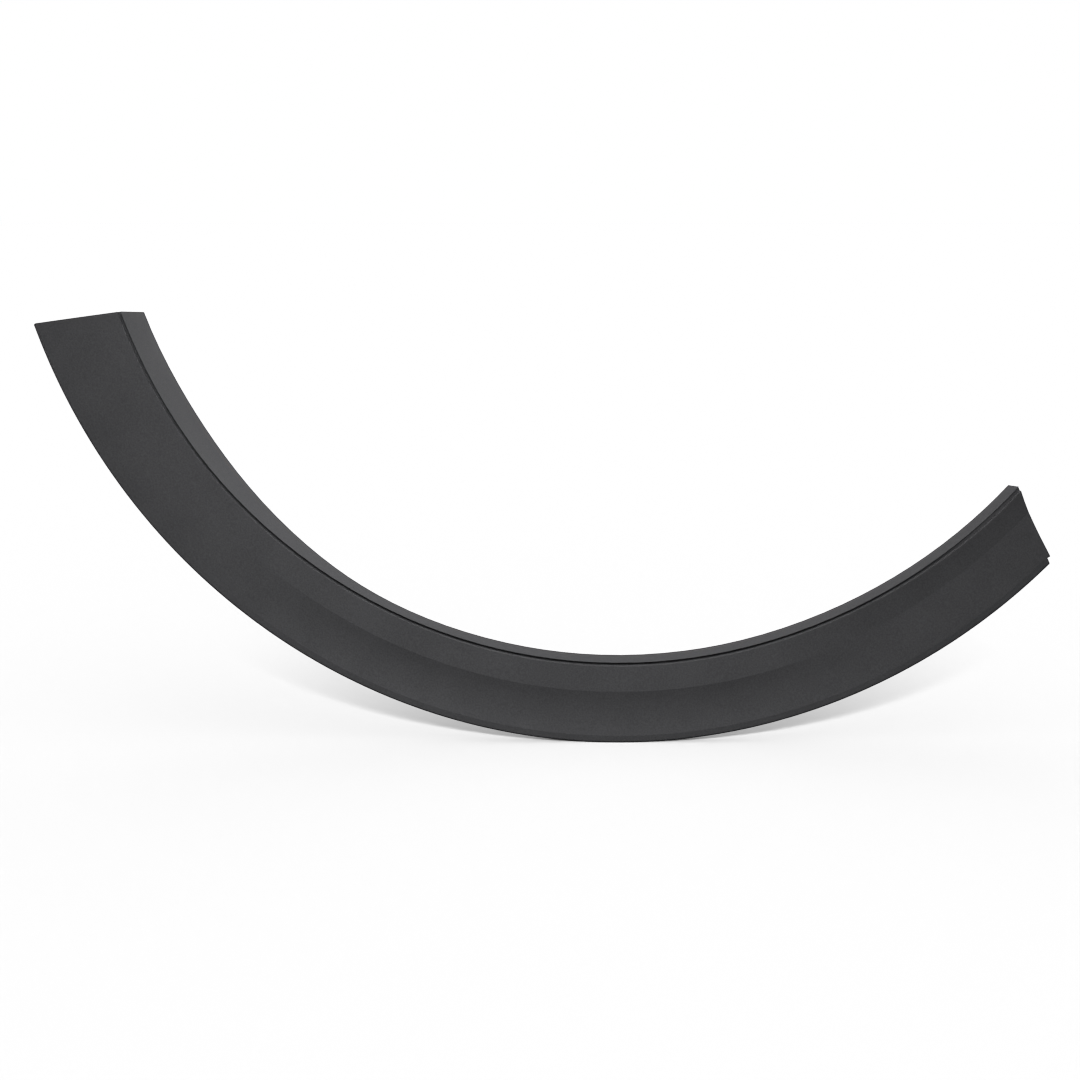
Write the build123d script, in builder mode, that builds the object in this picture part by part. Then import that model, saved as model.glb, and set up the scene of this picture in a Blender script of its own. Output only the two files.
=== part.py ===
"""Wheel arch trim, moulded in one piece: a bowed face, a lip round the wheel opening, an outer rim,
and clip towers and stiffening ribs behind.

Millimetres. The trim is drawn crown down, its face towards -Y and the car body towards +Y. Angles are
degrees along the arch from its crown, positive towards +X. The origin is the seat of the crown clip.
"""

import os
from math import cos, radians, sin, sqrt, tan

from build123d import *

# Arch
OPENING_RADIUS = 390.0  # to the shadow groove round the wheel opening
FACE_WIDTH = 61.8  # from the groove's circle to the outer edge
FACE_WIDTH_LEFT = 62.6
FACE_FLARE = (-22.0, -70.0)  # where the face widens, towards the left end
PLAN_RADIUS = 3500.0  # bow of the body side, seen from above
LEFT_END = -70.6
RIGHT_END = 49.0
END_SPARE = 8.0  # degrees of arch drawn past each end, before it is trimmed
STATIONS = 18  # wall sections along the arch

# Walls
WALL = 2.5
LIP_WALL = 2.2
RIM_WALL = 2.2
RIM_DEPTH = 12.0
OUTER_ROUND = 1.5

# Lip that turns into the wheel opening
LIP_DEPTH = 16.6
LIP_DEPTH_LEFT = 50.0
LIP_DRAFT = 5.0
LIP_SWELL = (-24.0, -60.0)  # where the lip deepens, towards the left end

# Shadow groove between the lip and the face
GROOVE_WIDTH = 2.3
GROOVE_WIDTH_RIGHT = 3.2
GROOVE_DEPTH = 3.2
GROOVE_DEPTH_RIGHT = 1.8
GROOVE_OPENS = (28.0, 44.0)  # where the groove grows wide and shallow, towards the right end
GROOVE_DRAFT = 0.2  # lean of each side of the groove
DRIFT_LEFT = -2.5  # the groove leaves its circle towards the ends
DRIFT_RIGHT = 2.6
DRIFT_LEFT_SPAN = (-46.0, -76.0)
DRIFT_RIGHT_SPAN = (18.0, 54.0)
LIP_EDGE_SET_BACK = 0.8
EDGE_ROUND = 0.6
GROOVE_WEB = 4.7  # slope of the wall behind the groove

# Face: a flat band, a crease, a shallow cove and a narrow strip along the outer edge
BAND_WIDTH = 21.3
BAND_SAG_RIGHT = 2.2  # fall of the band from the groove to the crease, where the crease has faded
BAND_HOLLOW_RIGHT = 0.45
COVE_SINK = 3.7
COVE_SINK_LEFT = -0.6
COVE_SINK_RIGHT = 0.3
STRIP_WIDTH = 5.5
STRIP_SET_BACK = 1.2
STRIP_FALL = 0.35  # across the strip
CREASE_FADE_LEFT = (-26.0, -44.0)
CREASE_FADE_RIGHT = (12.0, 32.0)

# Trimmed ends
LEFT_SKEW = -12.0  # turn of the end's line from the radius
RIGHT_SKEW = -21.3
LEFT_RAKE = 6.0  # the end falls back towards the body
RIGHT_RAKE = 14.0
RIGHT_HOLLOW = 0.7
LEFT_CORNER = 2.2  # rounding of the outer corner
STEP_WIDTH = 4.0  # the edge stops short of the right end
STEP_LENGTH = 2.4
LIP_STOP = 3.4  # and so does the lip

# Clip towers
TOWERS_LEFT = 3
TOWERS_RIGHT = 2
TOWER_PITCH = 20.0
TOWER_OFFSET = 12.0  # from the groove to the row of clips
TOWER_LENGTH = 24.0
TOWER_WIDTH = 15.0
TOWER_WALL = 2.0
TOWER_FLOOR = 0.3
SEAT_DEPTH = 10.0  # from the face to the clip seats
SLOT_WIDTH = 7.0

# Stiffening ribs, midway between the towers and level with their seats
RIB_WALL = 1.4

CLIP_RADIUS = OPENING_RADIUS + TOWER_OFFSET
ARCH_CENTRE = Vector(0, -SEAT_DEPTH, CLIP_RADIUS)
TRIM_REACH = 2 * (FACE_WIDTH + LIP_DEPTH_LEFT)  # clears the section on every side


def blend(angle, span):
    """Smooth rise from 0 to 1 as the angle goes from the start of the span to its end."""
    share = (angle - span[0]) / (span[1] - span[0])
    share = min(max(share, 0.0), 1.0)
    return share * share * (3 - 2 * share)


def outward(angle):
    """Direction from the arch's centre to its rim."""
    return Vector(sin(radians(angle)), 0, -cos(radians(angle)))


def along(angle):
    """Direction along the arch, towards larger angles."""
    return Vector(cos(radians(angle)), 0, sin(radians(angle)))


def on_arch(angle, offset, depth):
    """Section point: its radius, and its depth on the bowed body side."""
    radius = OPENING_RADIUS + offset
    bow = (radius * sin(radians(angle))) ** 2 / (2 * PLAN_RADIUS)
    return (radius, depth + bow)


def radial_plane(angle):
    """Plane across the arch, with the radius as local X and the depth as local Y."""
    return Plane(origin=ARCH_CENTRE, x_dir=outward(angle), z_dir=along(angle))


def lip_depth(angle):
    return LIP_DEPTH + (LIP_DEPTH_LEFT - LIP_DEPTH) * blend(angle, LIP_SWELL)


def lip_edge(angle):
    """Offset of the lip's front edge, which is the inner side of the groove."""
    drift = DRIFT_LEFT * blend(angle, DRIFT_LEFT_SPAN) + DRIFT_RIGHT * blend(angle, DRIFT_RIGHT_SPAN)
    return drift - GROOVE_WIDTH / 2


def lip_offset(angle, depth):
    """Offset of the lip's inner side, at a depth behind the face."""
    return lip_edge(angle) - (depth - LIP_EDGE_SET_BACK) * tan(radians(LIP_DRAFT))


def face_edge(angle):
    """Offset of the face's inner edge, which is the outer side of the groove."""
    widening = (GROOVE_WIDTH_RIGHT - GROOVE_WIDTH) * blend(angle, GROOVE_OPENS)
    return lip_edge(angle) + GROOVE_WIDTH + widening


def groove_depth(angle):
    return GROOVE_DEPTH + (GROOVE_DEPTH_RIGHT - GROOVE_DEPTH) * blend(angle, GROOVE_OPENS)


def face_width(angle):
    return FACE_WIDTH + (FACE_WIDTH_LEFT - FACE_WIDTH) * blend(angle, FACE_FLARE)


def cove_points(angle, back):
    """Crease, pull and outer end of the cove, on a surface set back from the seen one."""
    left = blend(angle, CREASE_FADE_LEFT)
    right = blend(angle, CREASE_FADE_RIGHT)
    crease = BAND_SAG_RIGHT * right
    sink = COVE_SINK + (COVE_SINK_LEFT - COVE_SINK) * left + (COVE_SINK_RIGHT - COVE_SINK) * right
    strip = face_width(angle) - STRIP_WIDTH
    return [
        on_arch(angle, BAND_WIDTH, crease + back),
        on_arch(angle, (BAND_WIDTH + strip) / 2, (crease + STRIP_SET_BACK) / 2 + sink + back),
        on_arch(angle, strip, STRIP_SET_BACK + back),
    ]


def wall_section(angle):
    """Section of the wall across the arch, with its lip, groove, face and rim."""

    def at(offset, depth):
        return on_arch(angle, offset, depth)

    lip = lip_depth(angle)
    groove = lip_edge(angle)
    face = face_edge(angle)
    right = blend(angle, CREASE_FADE_RIGHT)
    band_middle = (face + EDGE_ROUND + BAND_WIDTH) / 2
    band_pull = (BAND_SAG_RIGHT / 2 + BAND_HOLLOW_RIGHT) * right
    front_cove = cove_points(angle, 0)
    back_cove = cove_points(angle, WALL)
    outside = face_width(angle)
    inside = outside - RIM_WALL
    edge_depth = STRIP_SET_BACK + STRIP_FALL
    floor = groove_depth(angle)
    web = floor + WALL
    with BuildSketch(radial_plane(angle)) as section:
        with BuildLine():
            Polyline(
                at(lip_offset(angle, lip), lip),
                at(groove, LIP_EDGE_SET_BACK),
                at(groove + GROOVE_DRAFT, floor),
                at(face - GROOVE_DRAFT, floor),
                at(face, EDGE_ROUND),
            )
            Bezier(at(face, EDGE_ROUND), at(face, 0), at(face + EDGE_ROUND, 0))
            Bezier(at(face + EDGE_ROUND, 0), at(band_middle, band_pull), front_cove[0])
            Bezier(*front_cove)
            Line(front_cove[-1], at(outside - OUTER_ROUND, edge_depth))
            Bezier(
                at(outside - OUTER_ROUND, edge_depth),
                at(outside, edge_depth),
                at(outside, edge_depth + OUTER_ROUND),
            )
            Polyline(
                at(outside, edge_depth + OUTER_ROUND),
                at(outside, RIM_DEPTH),
                at(inside, RIM_DEPTH),
                at(inside, STRIP_SET_BACK + WALL),
                back_cove[-1],
            )
            Bezier(*reversed(back_cove))
            Polyline(
                back_cove[0],
                at(face + GROOVE_WEB, WALL),
                at(face, web),
                at(lip_offset(angle, lip) + LIP_WALL, lip),
                at(lip_offset(angle, lip), lip),
            )
        make_face()
    return section.sketch


def rib_outline(angle):
    """Rib across the channel behind the face, rooted in the middle of the walls round it."""

    def at(offset, depth):
        return on_arch(angle, offset, depth)

    root = WALL / 2
    foot = cove_points(angle, root)
    in_lip = lip_offset(angle, SEAT_DEPTH) + LIP_WALL / 2
    in_rim = face_width(angle) - RIM_WALL / 2
    with BuildSketch() as outline:
        with BuildLine():
            Bezier(*foot)
            Polyline(
                foot[-1],
                at(in_rim, STRIP_SET_BACK + root),
                at(in_rim, SEAT_DEPTH),
                at(in_lip, SEAT_DEPTH),
                at(in_lip, groove_depth(angle) + root),
                at(face_edge(angle) + GROOVE_WEB, root),
                foot[0],
            )
        make_face()
    return outline.sketch


def tower_plane(angle):
    """Plane on the face at a clip: local X along the arch, local Z square to the face, backwards."""
    radius, bow = on_arch(angle, TOWER_OFFSET, 0)
    across = radius * sin(radians(angle))
    normal = Vector(-across / PLAN_RADIUS, 1, 0).normalized()
    tangent = along(angle) - normal * along(angle).dot(normal)
    place = ARCH_CENTRE + outward(angle) * radius + Vector(0, bow, 0)
    return Plane(origin=place, x_dir=tangent, z_dir=normal)


def tower_root(angle):
    """Depth at which a tower starts, in the middle of the wall."""
    return WALL / 2 + BAND_SAG_RIGHT / 2 * blend(angle, CREASE_FADE_RIGHT)


def end_plane(angle, skew, rake):
    """Plane of an end's outline: local X out along the end's line from the groove, local Y past the end."""
    side = 1 if angle > 0 else -1
    bow = on_arch(angle, 0, 0)[1]
    start = ARCH_CENTRE + outward(angle) * OPENING_RADIUS + Vector(0, bow, 0)
    past = along(angle + skew) * side
    backwards = Vector(0, 1, 0) - past * tan(radians(rake))
    return Plane(origin=start, x_dir=outward(angle + skew), z_dir=backwards * -side)


def end_line_length(skew, offset):
    """Length of an end's line from the groove to an offset."""
    swing = OPENING_RADIUS * sin(radians(skew))
    return sqrt((OPENING_RADIUS + offset) ** 2 - swing**2) - OPENING_RADIUS * cos(radians(skew))


first_station = LEFT_END - END_SPARE
station_step = (RIGHT_END - LEFT_END + 2 * END_SPARE) / (STATIONS - 1)
sections = [wall_section(first_station + i * station_step) for i in range(STATIONS)]
tower_angles = [TOWER_PITCH * i for i in range(-TOWERS_LEFT, TOWERS_RIGHT + 1)]
left_width = end_line_length(LEFT_SKEW, face_width(LEFT_END))
lip_width = end_line_length(RIGHT_SKEW, lip_edge(RIGHT_END) + GROOVE_DRAFT)
step_start = end_line_length(RIGHT_SKEW, face_width(RIGHT_END) - STEP_WIDTH)

# Clip towers, each open at one end for the clip's foot, with a slot for its neck
with BuildPart() as clip_towers:
    for tower_angle in tower_angles:
        with BuildSketch(tower_plane(tower_angle).offset(SEAT_DEPTH)):
            Rectangle(TOWER_LENGTH, TOWER_WIDTH)
        extrude(amount=tower_root(tower_angle) - SEAT_DEPTH)
    for tower_angle in tower_angles:
        with BuildSketch(tower_plane(tower_angle).offset(WALL + TOWER_FLOOR)):
            with Locations((TOWER_WALL, 0)):
                Rectangle(TOWER_LENGTH, TOWER_WIDTH - 2 * TOWER_WALL)
    extrude(amount=SEAT_DEPTH - TOWER_WALL - WALL - TOWER_FLOOR, mode=Mode.SUBTRACT)
    for tower_angle in tower_angles:
        with BuildSketch(tower_plane(tower_angle).offset(SEAT_DEPTH)):
            Circle(SLOT_WIDTH / 2)
            Rectangle(TOWER_LENGTH, SLOT_WIDTH, align=(Align.MIN, Align.CENTER))
    extrude(amount=-TOWER_WALL, mode=Mode.SUBTRACT)

with BuildPart() as arch_trim:
    # Wall, drawn past both ends
    loft(sections)

    # Left end, cut straight, with its outer corner rounded
    with BuildSketch(end_plane(LEFT_END, LEFT_SKEW, LEFT_RAKE)):
        with BuildLine():
            TangentArc((left_width - LEFT_CORNER, 0), (left_width, -LEFT_CORNER), tangent=(1, 0))
            Polyline(
                (left_width, -LEFT_CORNER),
                (TRIM_REACH, -LEFT_CORNER),
                (TRIM_REACH, TRIM_REACH),
                (-TRIM_REACH, TRIM_REACH),
                (-TRIM_REACH, 0),
                (left_width - LEFT_CORNER, 0),
            )
        make_face()

    # Right end, slightly hollow, with a step where the edge stops, and the lip cut shorter
    with BuildSketch(end_plane(RIGHT_END, RIGHT_SKEW, RIGHT_RAKE)):
        with BuildLine():
            ThreePointArc((0, 0), (step_start / 2, -RIGHT_HOLLOW), (step_start, 0))
            Polyline(
                (step_start, 0),
                (step_start, -STEP_LENGTH),
                (TRIM_REACH, -STEP_LENGTH),
                (TRIM_REACH, TRIM_REACH),
                (-TRIM_REACH, TRIM_REACH),
                (-TRIM_REACH, 0),
                (0, 0),
            )
        make_face()
    with BuildSketch(end_plane(RIGHT_END, RIGHT_SKEW, 0)):
        with Locations((lip_width, -LIP_STOP)):
            Rectangle(TRIM_REACH, TRIM_REACH, align=(Align.MAX, Align.MIN))
    extrude(amount=TRIM_REACH, both=True, mode=Mode.SUBTRACT)

    # Ribs midway between the towers
    for i in range(-TOWERS_LEFT, TOWERS_RIGHT):
        rib_angle = TOWER_PITCH * (i + 0.5)
        with BuildSketch(radial_plane(rib_angle)):
            add(rib_outline(rib_angle))
    extrude(amount=RIB_WALL / 2, both=True)

    add(clip_towers.part)

arch_trim.part.label = "arch_trim"
os.makedirs("parts", exist_ok=True)
export_step(arch_trim.part, "parts/arch_trim.step")
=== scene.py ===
"""Wheel arch trim: the finish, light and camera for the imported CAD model.

Metres, in the CAD frame: the face looks towards -Y, the crown is down, and the origin is the seat of the
crown's clip.
"""

from math import cos, radians, sin

import bpy
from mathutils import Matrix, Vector


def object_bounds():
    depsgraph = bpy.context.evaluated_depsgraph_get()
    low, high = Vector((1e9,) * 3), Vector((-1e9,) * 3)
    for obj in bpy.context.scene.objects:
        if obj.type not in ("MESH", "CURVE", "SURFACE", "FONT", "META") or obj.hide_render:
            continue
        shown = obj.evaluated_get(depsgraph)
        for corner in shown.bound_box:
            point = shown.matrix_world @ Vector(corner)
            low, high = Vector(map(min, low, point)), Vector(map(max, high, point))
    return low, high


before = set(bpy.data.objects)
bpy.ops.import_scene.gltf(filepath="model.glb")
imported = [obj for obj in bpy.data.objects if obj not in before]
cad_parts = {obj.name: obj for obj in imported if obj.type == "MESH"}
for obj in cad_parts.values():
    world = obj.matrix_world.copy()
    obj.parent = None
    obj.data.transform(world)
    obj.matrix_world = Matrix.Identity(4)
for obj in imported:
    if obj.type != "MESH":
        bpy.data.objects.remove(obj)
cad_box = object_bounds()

# Camera, from a fit of the outline in the photograph
CAMERA_TARGET = Vector((-0.0591, -0.010, 0.1072))
CAMERA_ELEVATION = radians(12.0)
CAMERA_DISTANCE = 1.3
FOCAL_PX = 1765.0
IMAGE_PX = 1080.0
SENSOR_WIDTH = 36.0  # mm

# Plastic
GREY = (0.0478, 0.0478, 0.0500, 1.0)
GREY_LIGHT = (0.0700, 0.0700, 0.0728, 1.0)
CLOUDING = 0.25  # share of the tint that is cloudy, the rest is grain
SPECULAR = 0.02
ROUGHNESS = (0.62, 0.78)
GRAIN_SIZE = 0.0012
GRAIN_HEIGHT = 0.00006
MOTTLE_SIZE = 0.035
NOISE_MIDDLE = (0.3, 0.7)  # where most of a noise's values lie

# Floor and room
FLOOR_LEVEL = cad_box[0][2]
FLOOR_SIZE = 24.0
FLOOR_COLOUR = (0.5, 0.5, 0.5, 1.0)
AMBIENT = 0.10
BACKDROP_FADE = (-0.1, 0.3)  # the white backdrop starts beside the trim, in directions along Y

# What the lamps point at
KEY_AIM = (-0.10, 0.0, -0.10)
TRIM_AIM = (-0.05, 0.0, 0.10)
FLOOR_AIM = (0.0, -0.1, FLOOR_LEVEL)


def shader_tree(name):
    """A new node material, its node tree and its output node."""
    material = bpy.data.materials.new(name)
    material.use_nodes = True
    tree = material.node_tree
    tree.nodes.clear()
    return material, tree, tree.nodes.new("ShaderNodeOutputMaterial")


def noise(tree, size, detail, roughness):
    """Object-space noise whose features are about that size."""
    coordinates = tree.nodes.new("ShaderNodeTexCoord")
    texture = tree.nodes.new("ShaderNodeTexNoise")
    texture.inputs["Scale"].default_value = 1 / size
    texture.inputs["Detail"].default_value = detail
    texture.inputs["Roughness"].default_value = roughness
    tree.links.new(coordinates.outputs["Object"], texture.inputs["Vector"])
    return texture.outputs["Fac"]


def mapped(tree, value, source, target):
    """A socket's value, taken from one range to another and kept inside it."""
    node = tree.nodes.new("ShaderNodeMapRange")
    node.inputs["From Min"].default_value = source[0]
    node.inputs["From Max"].default_value = source[1]
    node.inputs["To Min"].default_value = target[0]
    node.inputs["To Max"].default_value = target[1]
    tree.links.new(value, node.inputs["Value"])
    return node.outputs["Result"]


def combined(tree, operation, first, second):
    """Two sockets or numbers, put together by a maths node."""
    node = tree.nodes.new("ShaderNodeMath")
    node.operation = operation
    for socket, value in zip(node.inputs, (first, second)):
        if isinstance(value, float):
            socket.default_value = value
        else:
            tree.links.new(value, socket)
    return node.outputs[0]


def moulded_plastic():
    """Dark grey plastic, slightly cloudy, with a fine eroded grain."""
    material, tree, output = shader_tree("moulded_plastic")
    shader = tree.nodes.new("ShaderNodeBsdfPrincipled")
    grain = noise(tree, GRAIN_SIZE, detail=2.0, roughness=0.6)
    mottle = noise(tree, MOTTLE_SIZE, detail=3.0, roughness=0.5)

    grain_share = mapped(tree, grain, NOISE_MIDDLE, (0.0, 1.0 - CLOUDING))
    cloud_share = mapped(tree, mottle, NOISE_MIDDLE, (0.0, CLOUDING))
    tint = tree.nodes.new("ShaderNodeMix")
    tint.data_type = "RGBA"
    tint.inputs["A"].default_value = GREY
    tint.inputs["B"].default_value = GREY_LIGHT
    tree.links.new(combined(tree, "ADD", grain_share, cloud_share), tint.inputs["Factor"])
    tree.links.new(tint.outputs["Result"], shader.inputs["Base Color"])

    tree.links.new(mapped(tree, mottle, NOISE_MIDDLE, ROUGHNESS), shader.inputs["Roughness"])
    shader.inputs["Specular IOR Level"].default_value = SPECULAR

    bump = tree.nodes.new("ShaderNodeBump")
    bump.inputs["Distance"].default_value = GRAIN_HEIGHT
    tree.links.new(grain, bump.inputs["Height"])
    tree.links.new(bump.outputs["Normal"], shader.inputs["Normal"])
    tree.links.new(shader.outputs["BSDF"], output.inputs["Surface"])
    return material


def pale_floor():
    """Pale matt floor."""
    material, tree, output = shader_tree("pale_floor")
    matt = tree.nodes.new("ShaderNodeBsdfDiffuse")
    matt.inputs["Color"].default_value = FLOOR_COLOUR
    tree.links.new(matt.outputs["BSDF"], output.inputs["Surface"])
    return material


def add_floor():
    """Floor that keeps the trim's shadow and lets the white room show through."""
    bpy.ops.mesh.primitive_plane_add(size=FLOOR_SIZE, location=(0, 0, FLOOR_LEVEL))
    floor = bpy.context.object
    floor.name = "floor"
    floor.data.materials.append(pale_floor())
    floor.is_shadow_catcher = True
    return floor


def add_world():
    """Dim room, white to the camera all round and white behind the trim in reflections."""
    world = bpy.data.worlds.new("studio")
    bpy.context.scene.world = world
    world.use_nodes = True
    tree = world.node_tree
    background = tree.nodes["Background"]
    background.inputs["Color"].default_value = (1, 1, 1, 1)
    coordinates = tree.nodes.new("ShaderNodeTexCoord")
    direction = tree.nodes.new("ShaderNodeSeparateXYZ")
    tree.links.new(coordinates.outputs["Generated"], direction.inputs["Vector"])
    behind = mapped(tree, direction.outputs["Y"], BACKDROP_FADE, (0.0, 1.0))
    path = tree.nodes.new("ShaderNodeLightPath").outputs
    mirrored = combined(tree, "MAXIMUM", path["Is Glossy Ray"], path["Is Transmission Ray"])
    backdrop = combined(tree, "MULTIPLY", mirrored, behind)
    white = combined(tree, "MAXIMUM", path["Is Camera Ray"], backdrop)
    strength = combined(tree, "MAXIMUM", white, AMBIENT)
    tree.links.new(strength, background.inputs["Strength"])


def add_softbox(name, lit, aim, azimuth, elevation, distance, size, spread, power):
    """Rectangular softbox that lights one thing. Azimuth 0 is straight in front of the face."""
    lamp = bpy.data.lights.new(name, "AREA")
    lamp.shape = "RECTANGLE"
    lamp.size, lamp.size_y = size
    lamp.spread = radians(spread)
    lamp.energy = power
    softbox = bpy.data.objects.new(name, lamp)
    around = radians(azimuth)
    up = radians(elevation)
    direction = Vector((sin(around) * cos(up), -cos(around) * cos(up), sin(up)))
    softbox.location = Vector(aim) + direction * distance
    softbox.rotation_euler = direction.to_track_quat("Z", "Y").to_euler()
    softbox.visible_camera = False
    bpy.context.collection.objects.link(softbox)
    receivers = bpy.data.collections.new(name + "_lights")
    receivers.objects.link(lit)
    softbox.light_linking.receiver_collection = receivers


def add_camera():
    """Camera in front of the face, looking slightly down."""
    data = bpy.data.cameras.new("camera")
    data.sensor_width = SENSOR_WIDTH
    data.lens = SENSOR_WIDTH * FOCAL_PX / IMAGE_PX
    camera = bpy.data.objects.new("camera", data)
    back = Vector((0, -cos(CAMERA_ELEVATION), sin(CAMERA_ELEVATION)))
    camera.location = CAMERA_TARGET + back * CAMERA_DISTANCE
    camera.rotation_euler = back.to_track_quat("Z", "Y").to_euler()
    bpy.context.collection.objects.link(camera)
    bpy.context.scene.camera = camera


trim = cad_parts["arch_trim"]
trim.data.materials.clear()
trim.data.materials.append(moulded_plastic())

floor = add_floor()
add_world()
add_softbox(
    "key", trim, KEY_AIM, azimuth=-4.0, elevation=58.0, distance=1.3,
    size=(0.57, 0.80), spread=74, power=3.5,
)
add_softbox(
    "fill", trim, TRIM_AIM, azimuth=0.0, elevation=40.0, distance=3.0,
    size=(2.5, 1.5), spread=180, power=39.5,
)
add_softbox(
    "side_left", trim, TRIM_AIM, azimuth=-112.0, elevation=8.0, distance=2.0,
    size=(0.6, 0.6), spread=180, power=27.0,
)
add_softbox(
    "side_right", trim, TRIM_AIM, azimuth=112.0, elevation=8.0, distance=2.0,
    size=(0.6, 0.6), spread=180, power=28.0,
)
add_softbox(
    "back", trim, TRIM_AIM, azimuth=180.0, elevation=2.0, distance=3.0,
    size=(2.5, 0.3), spread=180, power=44.0,
)
add_softbox(
    "shadow", floor, FLOOR_AIM, azimuth=-2.0, elevation=31.0, distance=2.6,
    size=(0.3, 0.3), spread=10, power=0.085,
)
add_camera()
bpy.context.scene.view_settings.view_transform = "Standard"
